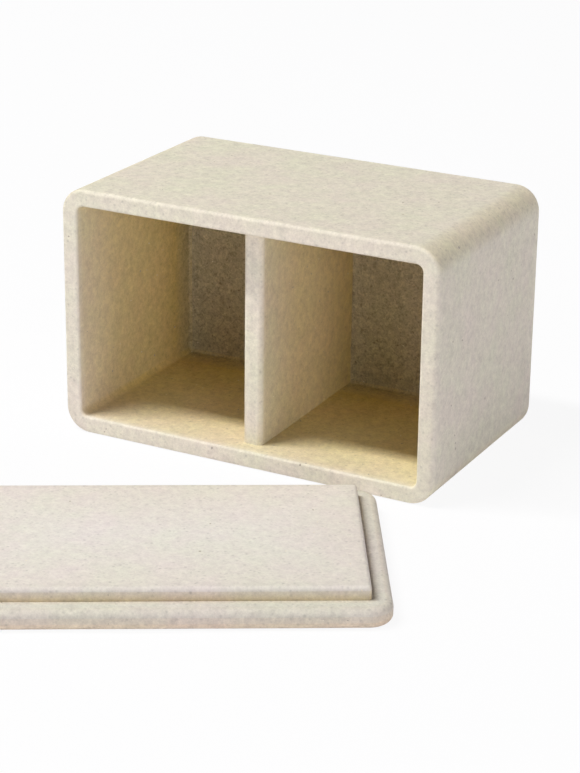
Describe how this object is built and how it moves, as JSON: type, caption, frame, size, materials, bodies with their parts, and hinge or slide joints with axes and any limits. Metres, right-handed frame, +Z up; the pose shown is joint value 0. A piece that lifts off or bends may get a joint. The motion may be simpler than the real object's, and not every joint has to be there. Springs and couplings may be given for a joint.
{
  "type": "two-compartment storage box with lid",
  "caption": "Rectangular cast storage box with a central divider, lying on its side beside its separate lift-off lid, which has a raised panel that fits inside the rim.",
  "frame": {"origin": "middle of the long side that the box lies on, on the surface that box and lid lie on", "axes": "+X along the box's length, +Y from the box's opening to its base, +Z up as pictured, along the box's width"},
  "size_m": [0.1863, 0.2673, 0.1],
  "materials": {
    "cast_sand_resin": "fine sand grain, matt",
    "foot_pad": "smooth, matt"
  },
  "bodies": {
    "box": {"box_shell": "cast_sand_resin", "divider": "cast_sand_resin", "foot_front_left": "foot_pad", "foot_front_right": "foot_pad", "foot_back_left": "foot_pad", "foot_back_right": "foot_pad"},
    "lid": {"lid_plate": "cast_sand_resin", "lid_panel": "cast_sand_resin"}
  },
  "joints": [
    {"name": "lid_lift", "type": "slide", "parent": "box", "child": "lid", "axis": [0, 0, 1], "range_m": [0, 0.12]}
  ]
}
